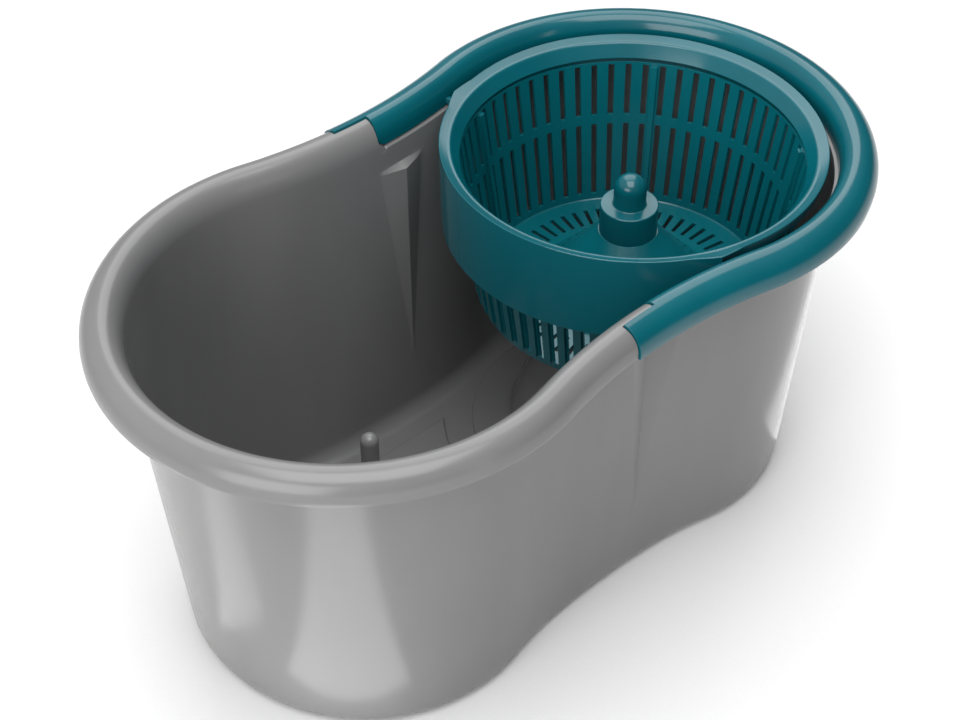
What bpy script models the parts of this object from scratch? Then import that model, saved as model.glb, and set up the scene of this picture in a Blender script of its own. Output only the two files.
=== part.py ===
"""Spin mop bucket: two-lobed bucket, clip-on collar with funnel, and a spinning wringer basket.

Metres, +Z up.  The origin is the middle of the footprint, on the ground.  +X points along the
bucket towards the spin lobe; the bucket is symmetric about the XZ plane.
"""
import math

import bmesh
import bpy
from mathutils import Matrix, Vector

MM = 0.001
GAP = 0.3 * MM                     # clearance between pieces that touch

# ---------------------------------------------------------------- driving dimensions
LOBE_R = 136.0 * MM                # outer edge of the bucket's rim, on both lobes
LOBE_PITCH = 210.0 * MM            # wash lobe centre to spin lobe centre
WAIST_R = 298.0 * MM               # hollow radius of the rim's outer edge at the waist
COLLAR_PROUD = 1.2 * MM            # how far the collar stands outside the rim it covers
WALL_T = 2.2 * MM                  # bucket wall
FLOOR_Z = 3.0 * MM                 # bucket floor, upper face
TAPER = 11.2 * MM                  # how far the wall leans in from the rim to the floor
END_LEAN = 0.029                   # the footprint is this share shorter than the wall's top

SPIN_X = LOBE_PITCH / 2 - COLLAR_PROUD / 2      # spin axis
WASH_X = SPIN_X - LOBE_PITCH                    # wash lobe centre
MID_X = (SPIN_X + WASH_X) / 2                   # waist

COLLAR_END_OUT = -3.65             # degrees round the waist: end of the collar's outer flange
COLLAR_END_IN = 0.55               # degrees round the waist: end of its inner flange
END_STEP = 0.06                    # half the width of the step in the rim there, degrees

PEDESTAL_BASE_R = 68.0 * MM        # truncated cone that carries the spindle
PEDESTAL_TOP_R = 45.0 * MM
PEDESTAL_TOP_Z = 92.0 * MM
STEP_R = 91.0 * MM                 # round step in the floor about the pedestal

RING_R = 109.7 * MM                # outer face of the collar's funnel ring
RING_T = 2.2 * MM
BAND_R = 104.3 * MM                # the ring's top slopes gently in to here, then drops steeply
BAND_Z = 214.5 * MM
RING_TOP_Z = 216.4 * MM
SKIRT_Z = 163.0 * MM               # lower edge of the ring's skirt, which faces the wash lobe
SHORT_SKIRT_Z = 209.5 * MM         # lower edge of the ring over the rest of its round
SKIRT_END = 111.5                  # degrees from +X where the skirt ends, on both sides
SKIRT_DRAFT = 1.0 * MM             # how far the skirt narrows down to there
LIP_R = 98.0 * MM                  # lower, inner edge of the funnel
LIP_Z = 206.8 * MM

SLOTS = 59                         # slots round the basket
SLOT_TURN = 0.9                    # degrees the slot pattern is turned
SLOT_SHARE = 0.32                  # slot width over slot pitch
BASKET_T = 2.2 * MM
BASKET_TOP_R = 98.4 * MM
BASKET_TOP_Z = 203.6 * MM
BASKET_FLOOR_R = 84.5 * MM
BASKET_FLOOR_Z = 111.3 * MM
BASKET_FLANGE_R = 103.5 * MM

HUB_R = 17.0 * MM
HUB_BASE_Z = 153.0 * MM
HUB_TOP_Z = 171.3 * MM
HUB_PIN_R = 9.5 * MM
HUB_PIN_TOP_Z = 191.2 * MM

SPINDLE_R = 5.0 * MM
SPINDLE_TOP_Z = 157.0 * MM
SPINDLE_BOTTOM_Z = 66.0 * MM
BUSH_R = 8.0 * MM
CLIP_Z = 154.2 * MM

WASH_PIN_R = 5.2 * MM
WASH_PIN_TOP_Z = 117.0 * MM
WASH_PIN_FOOT_Z = 8.0 * MM
PIN_X = WASH_X + 10.0 * MM         # the pin stands at the middle of the footprint's wash lobe
PLATEAU_H = 3.0 * MM               # raised pad in the wash lobe's floor
PLATEAU_HALF_Y = 71.0 * MM
PLATEAU_END_R = 109.0 * MM         # its inner end is an arc about the spin axis

# ---------------------------------------------------------------- scene and helpers
for old in list(bpy.data.objects):
    bpy.data.objects.remove(old, do_unlink=True)


def material(name, rgb, roughness, metallic=0.0):
    mat = bpy.data.materials.new(name)
    mat.use_nodes = True
    shader = mat.node_tree.nodes["Principled BSDF"]
    shader.inputs["Base Color"].default_value = (*rgb, 1.0)
    shader.inputs["Roughness"].default_value = roughness
    shader.inputs["Metallic"].default_value = metallic
    return mat


GREY = material("grey_polypropylene", (0.200, 0.198, 0.196), 0.38)
GREY_PIN = material("grey_pin_polypropylene", (0.205, 0.202, 0.200), 0.40)
TEAL_COLLAR = material("teal_collar_polypropylene", (0.004, 0.115, 0.135), 0.22)
TEAL_BASKET = material("teal_basket_polypropylene", (0.003, 0.105, 0.122), 0.30)
TEAL_HUB = material("teal_hub_polypropylene", (0.003, 0.110, 0.128), 0.22)
ACETAL = material("natural_acetal", (0.80, 0.79, 0.74), 0.35)
ACETAL_WASHER = material("acetal_washer", (0.74, 0.73, 0.68), 0.35)
STEEL = material("stainless_steel", (0.56, 0.56, 0.55), 0.28, 1.0)
SPRING_STEEL = material("spring_steel", (0.42, 0.42, 0.43), 0.35, 1.0)


def finish(name, bm, mat, sharp=35.0):
    """Make an object from bm, with its faces out and its round stretches smooth."""
    bmesh.ops.remove_doubles(bm, verts=bm.verts, dist=0.00001)
    bmesh.ops.recalc_face_normals(bm, faces=bm.faces)
    mesh = bpy.data.meshes.new(name)
    bm.to_mesh(mesh)
    bm.free()
    mesh.materials.append(mat)
    mesh.shade_smooth()
    mesh.set_sharp_from_angle(angle=math.radians(sharp))
    obj = bpy.data.objects.new(name, mesh)
    bpy.context.collection.objects.link(obj)
    return obj


def cutter(name, bm):
    """A shape that only serves in Booleans."""
    obj = finish(name, bm, GREY)
    obj.hide_render = True
    obj.display_type = "WIRE"
    return obj


def boolean(obj, other, operation):
    mod = obj.modifiers.new(other.name, "BOOLEAN")
    mod.operation = operation
    mod.solver = "EXACT"
    mod.object = other
    return mod


def loft(rings):
    """Join equal lists of points, ring after ring, and cap both ends."""
    bm = bmesh.new()
    verts = [bm.verts.new(p) for p in rings[0]]
    count = len(verts)
    edges = [bm.edges.new((verts[i], verts[(i + 1) % count])) for i in range(count)]
    first = verts
    for ring in rings[1:]:
        grown = bmesh.ops.extrude_edge_only(bm, edges=edges)["geom"]
        edges = [g for g in grown if isinstance(g, bmesh.types.BMEdge)]
        new = [g for g in grown if isinstance(g, bmesh.types.BMVert)]
        # each new vertex is tied by an edge to the vertex it grew from
        partner = {}
        for vert in new:
            for edge in vert.link_edges:
                other = edge.other_vert(vert)
                if other in verts:
                    partner[other] = vert
        verts = [partner[v] for v in verts]
        edges = [bm.edges.get((verts[i], verts[(i + 1) % count])) for i in range(count)]
        for vert, point in zip(verts, ring):
            vert.co = point
    bm.faces.new(list(reversed(first)))
    bm.faces.new(verts)
    return bm


def turned(profile, segments, centre_x=0.0):
    """Spin a closed profile of (radius, z) about the vertical axis at centre_x."""
    bm = bmesh.new()
    verts = [bm.verts.new((centre_x + r, 0.0, z)) for r, z in profile]
    on_axis = profile[0][0] == 0.0 and profile[-1][0] == 0.0
    pairs = list(zip(verts, verts[1:]))
    if not on_axis:
        pairs.append((verts[-1], verts[0]))
    edges = [bm.edges.new(pair) for pair in pairs]
    bmesh.ops.spin(
        bm, geom=verts + edges, cent=(centre_x, 0.0, 0.0), axis=(0.0, 0.0, 1.0),
        angle=2 * math.pi, steps=segments, use_merge=True,
    )
    bmesh.ops.remove_doubles(bm, verts=bm.verts, dist=0.000005)
    return bm


def dome(radius, top_z, steps):
    """Quarter circle from the axis down to the cylinder, for a turned profile."""
    points = []
    for i in range(steps + 1):
        a = math.pi / 2 * i / steps
        points.append((radius * math.sin(a), top_z - radius + radius * math.cos(a)))
    return points


# ---------------------------------------------------------------- the two-lobed outline
FILLET_Y = math.sqrt((LOBE_R + WAIST_R) ** 2 - (LOBE_PITCH / 2) ** 2)   # waist circle centre
WAIST_ANGLE = math.degrees(math.asin((LOBE_PITCH / 2) / (LOBE_R + WAIST_R)))
GROOVE_LEFT, GROOVE_DEEP, GROOVE_RIGHT = 0.2, 3.2, 6.4                 # degrees, at the top
GROOVE_POINT = GROOVE_DEEP                                             # degrees, at the bottom
GROOVE_TOP_Z, GROOVE_FULL_Z, GROOVE_END_Z = 191.0 * MM, 188.0 * MM, 46.0 * MM
GROOVE_DEPTH = 5.2 * MM
WALL_TOP_Z = 199.5 * MM
WALL_TOP_INSET = 20.4 * MM
CORNER_Z = 12.0 * MM
WAIST_STEPS = sorted([
    -10.5, -7.0,
    COLLAR_END_OUT - END_STEP, COLLAR_END_OUT + END_STEP, GROOVE_LEFT,
    COLLAR_END_IN - END_STEP, COLLAR_END_IN + END_STEP,
    2.0, GROOVE_DEEP, 4.9, GROOVE_RIGHT, 9.5,
])
LOBE_STEPS = 18


def stations():
    """Points round the outline, anticlockwise: centre, radius, sense, direction, waist angle."""
    out = []
    half = 90.0 + WAIST_ANGLE
    for i in range(LOBE_STEPS + 1):
        a = math.radians(-half + 2 * half * i / LOBE_STEPS)
        out.append((SPIN_X, 0.0, LOBE_R, 1.0, math.cos(a), math.sin(a), None))
    for deg in reversed(WAIST_STEPS):
        a = math.radians(deg)
        out.append((MID_X, FILLET_Y, WAIST_R, -1.0, math.sin(a), -math.cos(a), deg))
    for i in range(LOBE_STEPS + 1):
        a = math.radians(180.0 - half + 2 * half * i / LOBE_STEPS)
        out.append((WASH_X, 0.0, LOBE_R, 1.0, math.cos(a), math.sin(a), None))
    for deg in WAIST_STEPS:
        a = math.radians(deg)
        out.append((MID_X, -FILLET_Y, WAIST_R, -1.0, math.sin(a), math.cos(a), deg))
    return out


def fall(z):
    """How far down the wall z lies: 0 at the rim, 1 at the floor's corner."""
    return min(max((WALL_TOP_Z - z) / (WALL_TOP_Z - CORNER_Z), 0.0), 1.0)


def place(station, inset, z):
    """The point at a station, inset from the rim's outer edge."""
    cx, cy, radius, sense, ux, uy, _ = station
    r = radius - sense * inset
    x = cx + r * ux
    return Vector((MID_X + (x - MID_X) * (1.0 - END_LEAN * fall(z)), cy + r * uy, z))


def under_collar(station, end_deg):
    """Whether the collar covers this station, for the end given."""
    deg = station[6]
    if deg is None:
        return station[0] == SPIN_X
    return deg > end_deg


def groove(station, z):
    """Depth of the wedge pressed into the waist, widest at the top and running out below."""
    deg = station[6]
    if deg is None or z >= GROOVE_TOP_Z or z <= GROOVE_END_Z:
        return 0.0
    if z > GROOVE_FULL_Z:
        size = (GROOVE_TOP_Z - z) / (GROOVE_TOP_Z - GROOVE_FULL_Z)
        spread = 1.0
    else:
        size = (z - GROOVE_END_Z) / (GROOVE_FULL_Z - GROOVE_END_Z)
        spread = size
    left = GROOVE_POINT + (GROOVE_LEFT - GROOVE_POINT) * spread
    deep = GROOVE_POINT + (GROOVE_DEEP - GROOVE_POINT) * spread
    right = GROOVE_POINT + (GROOVE_RIGHT - GROOVE_POINT) * spread
    if deg <= left or deg >= right:
        return 0.0
    if deg <= deep:
        return GROOVE_DEPTH * size * (deg - left) / (deep - left)
    return GROOVE_DEPTH * size * (right - deg) / (right - deep)


def wall_inset(station, z):
    """Inset of the wall's outer face at height z."""
    lean = TAPER
    if station[6] is not None:
        lean *= 1.0 - 0.2 * math.cos(math.radians(90.0 * station[6] / WAIST_ANGLE)) ** 2
    return WALL_TOP_INSET + lean * fall(z) + groove(station, z)


# Rim section as (inset, z) in mm: the underside from the wall out to the skirt's edge, then the
# upper face back in.  The second list is the part that the collar covers.
RIM_UNDER = [(20.0, 206.0), (16.5, 215.8), (10.0, 219.0), (4.2, 215.6), (2.6, 207.6)]
SEAT_UNDER = [(15.8, 203.4), (14.2, 214.0), (10.0, 217.4), (5.4, 214.2), (3.9, 207.6)]
RIM_UPPER = [(0.3, 207.2), (0.0, 209.6), (1.7, 215.4), (6.2, 220.2), (11.2, 221.7), (11.6, 221.8),
             (17.0, 219.0), (20.8, 210.5), (22.4, 204.2)]
SEAT_UPPER = [(1.6, 207.2), (1.3, 209.6), (3.0, 214.8), (6.9, 218.8), (11.2, 220.1), (11.6, 220.2),
              (16.0, 217.4), (18.1, 210.5), (18.2, 205.4)]
CREST_INSET = 11.4                 # mm: outward of this the outer end of the collar counts
NOTCH_INSET = 10.9                 # mm: the collar's outer end strip stops here


def bucket_rings():
    """Rings of the bucket's one closed skin: under the floor, up outside, over the rim, down inside."""
    posts = stations()
    rings = []

    def ring(inset_of, z_of):
        rings.append([place(s, inset_of(s), z_of(s)) for s in posts])

    def level(z, extra=0.0):
        ring(lambda s: wall_inset(s, z) + extra, lambda s: z)

    foot = [(11.0, 0.0), (5.2, 1.6), (1.5, 5.6)]
    for extra, z in foot:
        ring(lambda s, e=extra: wall_inset(s, CORNER_Z) + e * MM, lambda s, z=z: z * MM)
    heights = [CORNER_Z, GROOVE_END_Z, 90.0 * MM, 140.0 * MM, GROOVE_FULL_Z, GROOVE_TOP_Z, WALL_TOP_Z]
    for z in heights:
        level(z)
    for full, seat in zip(RIM_UNDER + RIM_UPPER, SEAT_UNDER + SEAT_UPPER):
        outward = full[0] < CREST_INSET
        end = COLLAR_END_OUT if outward else COLLAR_END_IN
        chosen = [seat if under_collar(s, end) else full for s in posts]
        rings.append([place(s, c[0] * MM, c[1] * MM) for s, c in zip(posts, chosen)])
    seat_shelf_z = 204.4 * MM
    ring(lambda s: wall_inset(s, WALL_TOP_Z) + WALL_T,
         lambda s: seat_shelf_z if under_collar(s, COLLAR_END_IN) else 201.0 * MM)
    for z in reversed(heights[1:-1]):
        level(z, WALL_T)
    inner_foot = [(WALL_T, 14.0 * MM), (WALL_T + 1.6 * MM, 7.0 * MM), (WALL_T + 7.0 * MM, FLOOR_Z)]
    for extra, z in inner_foot:
        ring(lambda s, e=extra: wall_inset(s, CORNER_Z) + e, lambda s, z=z: z)
    return rings


def plateau():
    """Pad with a straight back and front edge, a round far end and a hollow end by the pedestal."""
    far_r = PLATEAU_HALF_Y
    corner = math.asin(PLATEAU_HALF_Y / PLATEAU_END_R)
    outline = []
    for i in range(9):
        a = corner - 2 * corner * i / 8
        outline.append((SPIN_X - PLATEAU_END_R * math.cos(a), PLATEAU_END_R * math.sin(a)))
    for i in range(1, 12):
        a = -math.pi / 2 - math.pi * i / 12
        outline.append((PIN_X + far_r * math.cos(a), far_r * math.sin(a)))
    low = [Vector((x, y, FLOOR_Z - 1 * MM)) for x, y in outline]
    high = [Vector((x, y, FLOOR_Z + PLATEAU_H)) for x, y in outline]
    return loft([low, high])


def make_bucket():
    bucket = finish("bucket", loft(bucket_rings()), GREY, sharp=40.0)
    # Pedestal: a hollow cone that rises from a low round step, with a blind socket for the spindle.
    step_h = 2.0 * MM
    socket_r = SPINDLE_R + GAP
    cone = turned([
        (0.0, SPINDLE_BOTTOM_Z - GAP), (socket_r, SPINDLE_BOTTOM_Z - GAP), (socket_r, PEDESTAL_TOP_Z),
        (PEDESTAL_TOP_R - 3 * MM, PEDESTAL_TOP_Z),
        (PEDESTAL_TOP_R, PEDESTAL_TOP_Z - 3 * MM),
        (PEDESTAL_BASE_R, FLOOR_Z + step_h + 5 * MM), (PEDESTAL_BASE_R + 6 * MM, FLOOR_Z + step_h),
        (STEP_R, FLOOR_Z + step_h), (STEP_R + 1 * MM, FLOOR_Z - 1 * MM), (0.0, FLOOR_Z - 1 * MM),
    ], 36, SPIN_X)
    boolean(bucket, cutter("cut_pedestal", cone), "UNION")
    wall = 2.6 * MM
    boss_r = 10.0 * MM
    hollow = turned([
        (boss_r, SPINDLE_BOTTOM_Z - 4 * MM), (boss_r, PEDESTAL_TOP_Z - wall),
        (PEDESTAL_TOP_R - wall - 2 * MM, PEDESTAL_TOP_Z - wall),
        (PEDESTAL_BASE_R - wall, FLOOR_Z + step_h + 5 * MM), (PEDESTAL_BASE_R - wall + 2 * MM, -2 * MM),
        (0.0, -2 * MM), (0.0, SPINDLE_BOTTOM_Z - 4 * MM),
    ][::-1], 36, SPIN_X)
    boolean(bucket, cutter("cut_pedestal_hollow", hollow), "DIFFERENCE")
    # Wash lobe: a raised pad in the floor, and a boss with a blind socket for the wash pin.
    boolean(bucket, cutter("cut_plateau", plateau()), "UNION")
    pin_socket_r = WASH_PIN_R + GAP
    boss = turned([
        (0.0, WASH_PIN_FOOT_Z - GAP), (pin_socket_r, WASH_PIN_FOOT_Z - GAP), (pin_socket_r, 16 * MM),
        (12 * MM, 16 * MM), (13 * MM, 15 * MM), (17 * MM, FLOOR_Z - 1 * MM), (0.0, FLOOR_Z - 1 * MM),
    ], 24, PIN_X)
    boolean(bucket, cutter("cut_wash_boss", boss), "UNION")
    return bucket


def make_wash_pin():
    profile = dome(WASH_PIN_R, WASH_PIN_TOP_Z, 4)
    profile += [(WASH_PIN_R, 16 * MM + GAP + 1.5 * MM), (WASH_PIN_R + 3 * MM, 16 * MM + GAP + 1.0 * MM),
                (WASH_PIN_R + 3 * MM, 16 * MM + GAP), (WASH_PIN_R, 16 * MM + GAP),
                (WASH_PIN_R, WASH_PIN_FOOT_Z), (0.0, WASH_PIN_FOOT_Z)]
    return finish("wash_pin", turned(profile, 20, PIN_X), GREY_PIN)


# ---------------------------------------------------------------- collar
# Channel section as (inset, z) in mm: over the top from the outer edge, then back underneath.
CHANNEL_TOP = [(-0.9, 206.4), (-1.2, 209.6), (0.6, 216.0), (5.6, 221.4), (12.0, 223.1),
               (17.8, 220.0), (20.6, 212.0), (20.7, 206.2)]
CHANNEL_UNDER = [(18.6, 206.2), (18.5, 210.7), (16.3, 217.8), (12.0, 220.7),
                 (6.6, 219.25), (2.6, 215.2), (0.9, 209.6), (1.2, 206.4)]


def channel_rings(section):
    """The collar's channel, swept round the spin lobe from one waist to the other."""
    posts = stations()
    half = len(WAIST_STEPS)
    order = posts[-half:] + posts[:LOBE_STEPS + 1] + posts[LOBE_STEPS + 1:LOBE_STEPS + 1 + half]
    covered = [s for s in order if under_collar(s, COLLAR_END_OUT)]
    return [[place(s, n * MM, z * MM) for n, z in section] for s in covered]


def end_notch(name, side):
    """Block that takes the inner half of the channel away beyond the inner flange's end."""
    rings = []
    for deg in (COLLAR_END_OUT - 2.0, COLLAR_END_OUT + 2.0, COLLAR_END_IN + END_STEP):
        a = math.radians(deg)
        s = (MID_X, side * FILLET_Y, WAIST_R, -1.0, math.sin(a), -side * math.cos(a), deg)
        section = [(NOTCH_INSET, 190.0), (NOTCH_INSET, 235.0), (30.0, 235.0), (30.0, 190.0)]
        rings.append([place(s, n * MM, z * MM) for n, z in section])
    return cutter(name, loft(rings))


def shorten_skirt(ring, step):
    """Draw the skirt up where the ring lies along the rim; step is the ring's own facet angle."""
    last_short = math.floor(SKIRT_END / step) * step
    for vert in ring.verts:
        x, y = vert.co.x - SPIN_X, vert.co.y
        radius, turn = math.hypot(x, y), math.degrees(math.atan2(y, x))
        side = 1 if turn > 0 else -1
        if abs(abs(turn) - last_short) < 0.1:
            turn = side * (SKIRT_END - 0.3)
        elif abs(abs(turn) - last_short - step) < 0.1:
            turn = side * (SKIRT_END + 0.3)
        if abs(turn) < SKIRT_END:
            vert.co.z = max(vert.co.z, SHORT_SKIRT_Z) if radius > BAND_R + 1 * MM else vert.co.z
        vert.co.x = SPIN_X + radius * math.cos(math.radians(turn))
        vert.co.y = radius * math.sin(math.radians(turn))


def make_collar():
    collar = finish("collar", loft(channel_rings(CHANNEL_TOP + CHANNEL_UNDER)), TEAL_COLLAR, sharp=40.0)
    boolean(collar, end_notch("cut_notch_front", -1), "DIFFERENCE")
    boolean(collar, end_notch("cut_notch_back", 1), "DIFFERENCE")
    foot_r = RING_R - SKIRT_DRAFT
    inner_r = RING_R - RING_T
    ring = turned([
        (foot_r - 0.6 * MM, SKIRT_Z), (foot_r, SKIRT_Z + 1 * MM), (RING_R, RING_TOP_Z - 2 * MM),
        (RING_R - 0.4 * MM, RING_TOP_Z - 0.3 * MM), (RING_R - 1.0 * MM, RING_TOP_Z),
        (BAND_R, BAND_Z), (BAND_R - 1.4 * MM, BAND_Z - 1.7 * MM),
        (LIP_R, LIP_Z), (LIP_R + 0.5 * MM, LIP_Z - 1.2 * MM), (LIP_R + 2.2 * MM, LIP_Z - 1.0 * MM),
        (BAND_R - 0.4 * MM, BAND_Z - 3.6 * MM), (inner_r, RING_TOP_Z - 4.6 * MM), (foot_r - RING_T, SKIRT_Z),
    ], 60, SPIN_X)
    shorten_skirt(ring, 6.0)
    boolean(collar, cutter("cut_funnel_ring", ring), "UNION")
    for side, name in ((-1, "cut_web_front"), (1, "cut_web_back")):
        bm = bmesh.new()
        bmesh.ops.create_cube(bm, size=1.0)
        bmesh.ops.scale(bm, vec=(9.5 * MM, 3.2 * MM, 6.0 * MM), verts=bm.verts)
        bmesh.ops.translate(bm, vec=(RING_R + 3.4 * MM, 0.0, 210.8 * MM), verts=bm.verts)
        bmesh.ops.rotate(
            bm, cent=(0.0, 0.0, 0.0), verts=bm.verts,
            matrix=Matrix.Rotation(side * math.radians(111.5), 3, "Z"),
        )
        bmesh.ops.translate(bm, vec=(SPIN_X, 0.0, 0.0), verts=bm.verts)
        boolean(collar, cutter(name, bm), "UNION")
    return collar


# ---------------------------------------------------------------- basket
def basket_wall_r(z):
    """Inner radius of the basket's conical wall at height z."""
    share = (z - BASKET_FLOOR_Z) / (BASKET_TOP_Z - BASKET_FLOOR_Z)
    return BASKET_FLOOR_R + (BASKET_TOP_R - BASKET_FLOOR_R) * share


UPPER_SLOT = (169.0 * MM, 202.0 * MM)
LOWER_SLOT = (115.5 * MM, 163.0 * MM)
FLOOR_SLOT = (60.0 * MM, 74.5 * MM)
CONE_BASE_R = 56.5 * MM
BORE_R = BUSH_R + GAP


def make_basket():
    pitch = 2 * math.pi / SLOTS
    bm = bmesh.new()
    profile = [(BASKET_FLANGE_R, BASKET_TOP_Z)]
    for z in (BASKET_TOP_Z, UPPER_SLOT[1], UPPER_SLOT[0], LOWER_SLOT[1], LOWER_SLOT[0], BASKET_FLOOR_Z):
        profile.append((basket_wall_r(z), z))
    profile += [(FLOOR_SLOT[1], BASKET_FLOOR_Z), (FLOOR_SLOT[0], BASKET_FLOOR_Z),
                (CONE_BASE_R, BASKET_FLOOR_Z), (HUB_R + 0.5 * MM, HUB_BASE_Z - GAP),
                (BORE_R, HUB_BASE_Z - GAP), (BORE_R, 98.0 * MM)]
    verts = [bm.verts.new((SPIN_X + r, 0.0, z)) for r, z in profile]
    edges = [bm.edges.new(pair) for pair in zip(verts, verts[1:])]
    bmesh.ops.spin(
        bm, geom=verts + edges, cent=(SPIN_X, 0.0, 0.0), axis=(0.0, 0.0, 1.0),
        angle=2 * math.pi, steps=2 * SLOTS, use_merge=True,
    )
    # every other column of faces is a slot column, narrowed to its share of the pitch
    narrow = pitch * (0.5 - SLOT_SHARE) / 2
    for vert in bm.verts:
        angle = math.atan2(vert.co.y, vert.co.x - SPIN_X)
        column = round(angle / (pitch / 2)) % 2
        radius = math.hypot(vert.co.x - SPIN_X, vert.co.y)
        # inside the floor slots two columns are enough for one pitch, so they close up to one
        shift = narrow if radius > FLOOR_SLOT[0] - 1 * MM else pitch / 4
        turn = math.radians(SLOT_TURN) + (shift if column == 0 else -shift)
        vert.co.x = SPIN_X + radius * math.cos(angle + turn)
        vert.co.y = radius * math.sin(angle + turn)
    slot_faces = []
    for face in bm.faces:
        centre = face.calc_center_median()
        angle = (math.atan2(centre.y, centre.x - SPIN_X) - math.radians(SLOT_TURN)) / pitch
        in_slot_column = abs(angle - math.floor(angle) - 0.25) < 0.1
        radius = math.hypot(centre.x - SPIN_X, centre.y)
        in_wall = any(lo < centre.z < hi for lo, hi in (UPPER_SLOT, LOWER_SLOT)) and radius > 80 * MM
        in_floor = FLOOR_SLOT[0] < radius < FLOOR_SLOT[1] and abs(centre.z - BASKET_FLOOR_Z) < 0.1 * MM
        if in_slot_column and (in_wall or in_floor):
            slot_faces.append(face)
    bmesh.ops.delete(bm, geom=slot_faces, context="FACES")
    basket = finish("basket", bm, TEAL_BASKET, sharp=30.0)
    thick = basket.modifiers.new("wall", "SOLIDIFY")
    thick.thickness = BASKET_T
    thick.offset = -1.0
    thick.use_even_offset = True
    return basket


# ---------------------------------------------------------------- hub and bearing
def make_hub_post():
    """Cap that stands on the basket's cone, with the domed pin that enters the mop's head."""
    profile = dome(HUB_PIN_R, HUB_PIN_TOP_Z, 4)
    profile += [(HUB_PIN_R, HUB_TOP_Z), (HUB_R - 0.8 * MM, HUB_TOP_Z), (HUB_R, HUB_TOP_Z - 0.8 * MM),
                (HUB_R, HUB_BASE_Z), (10.5 * MM, HUB_BASE_Z), (10.5 * MM, HUB_TOP_Z - 8.0 * MM),
                (0.0, HUB_TOP_Z - 8.0 * MM)]
    return finish("hub_post", turned(profile, 28, SPIN_X), TEAL_HUB)


def make_bearing_bush():
    """Flanged plain bush pressed into the basket's bore."""
    bore = SPINDLE_R + GAP
    profile = [(bore, 150.0 * MM), (BUSH_R, 150.0 * MM), (BUSH_R, 98.0 * MM - GAP),
               (BUSH_R + 3.5 * MM, 98.0 * MM - GAP), (BUSH_R + 3.5 * MM, 96.0 * MM - GAP),
               (bore, 96.0 * MM - GAP)]
    return finish("bearing_bush", turned(profile, 24, SPIN_X), ACETAL)


def make_thrust_washer():
    """Washer between the bush's flange and the pedestal."""
    low, high = PEDESTAL_TOP_Z + GAP, 95.4 * MM
    profile = [(SPINDLE_R + GAP, high), (13.0 * MM, high), (13.0 * MM, low), (SPINDLE_R + GAP, low)]
    return finish("thrust_washer", turned(profile, 24, SPIN_X), ACETAL_WASHER)


def make_spindle():
    """Fixed shaft in the pedestal's socket, with a groove near its top for the clip."""
    groove_r = SPINDLE_R - 1.0 * MM
    half = 0.8 * MM
    profile = [(0.0, SPINDLE_TOP_Z), (SPINDLE_R - 0.8 * MM, SPINDLE_TOP_Z), (SPINDLE_R, SPINDLE_TOP_Z - 0.8 * MM),
               (SPINDLE_R, CLIP_Z + half), (groove_r, CLIP_Z + half), (groove_r, CLIP_Z - half),
               (SPINDLE_R, CLIP_Z - half), (SPINDLE_R, SPINDLE_BOTTOM_Z), (0.0, SPINDLE_BOTTOM_Z)]
    return finish("spindle", turned(profile, 24, SPIN_X), STEEL)


def make_retaining_clip():
    """Open ring in the spindle's groove that keeps the basket down."""
    half = 0.5 * MM
    inner, outer = SPINDLE_R - 1.0 * MM + GAP, 7.5 * MM
    rings = []
    for i in range(15):
        a = math.radians(35.0 + 290.0 * i / 14)
        section = [(inner, half), (outer, half), (outer, -half), (inner, -half)]
        rings.append([Vector((SPIN_X + r * math.cos(a), r * math.sin(a), CLIP_Z + z)) for r, z in section])
    return finish("retaining_clip", loft(rings), SPRING_STEEL)


make_bucket()
make_wash_pin()
make_collar()
basket = make_basket()
hub_post = make_hub_post()
bearing_bush = make_bearing_bush()
make_thrust_washer()
make_spindle()
make_retaining_clip()

# The turning pieces hang on one empty that stands on the spin axis.
spin_axis = bpy.data.objects.new("spin_axis", None)
spin_axis.location = (SPIN_X, 0.0, BASKET_FLOOR_Z)
bpy.context.collection.objects.link(spin_axis)
bpy.context.view_layer.update()
for piece in (basket, hub_post, bearing_bush):
    piece.parent = spin_axis
    piece.matrix_parent_inverse = spin_axis.matrix_world.inverted()
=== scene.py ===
# %% [markdown]
# # A spin mop bucket
#
# The object is a two-lobed grey bucket. A teal collar clips over one end and carries a funnel
# ring, and a slotted basket spins inside the ring to wring a mop. The other end holds the rinse
# water, with a thin pin on its floor that the mop head turns on.
#
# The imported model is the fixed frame. Every size below is in millimetres and is turned into
# metres at the last moment. Wherever the frame can say where a piece is, it is asked.

# %% Load the frame
import math
import bmesh
import bpy
from mathutils import Matrix, Vector


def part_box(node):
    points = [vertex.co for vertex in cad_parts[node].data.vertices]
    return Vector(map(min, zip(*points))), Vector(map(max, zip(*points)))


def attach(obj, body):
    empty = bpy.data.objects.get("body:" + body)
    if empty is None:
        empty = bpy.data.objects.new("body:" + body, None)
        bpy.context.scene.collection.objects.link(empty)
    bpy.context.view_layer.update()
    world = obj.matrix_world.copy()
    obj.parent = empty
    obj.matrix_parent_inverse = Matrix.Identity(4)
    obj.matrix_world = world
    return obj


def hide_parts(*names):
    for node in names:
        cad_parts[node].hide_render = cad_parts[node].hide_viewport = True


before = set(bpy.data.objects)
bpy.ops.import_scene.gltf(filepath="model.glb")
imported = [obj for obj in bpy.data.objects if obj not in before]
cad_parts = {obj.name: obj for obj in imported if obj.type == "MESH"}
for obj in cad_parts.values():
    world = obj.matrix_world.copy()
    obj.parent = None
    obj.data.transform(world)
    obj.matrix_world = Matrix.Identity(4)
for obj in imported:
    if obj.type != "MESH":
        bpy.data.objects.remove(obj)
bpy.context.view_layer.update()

MM = 0.001
print("nodes in the frame:", sorted(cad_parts))

# %% [markdown]
# ## Where things are
#
# Two vertical axes place nearly everything: the spin axis, through the basket, and the pin in
# the rinse end. The frame gives both, and it gives the heights of the pieces that turn.


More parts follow.
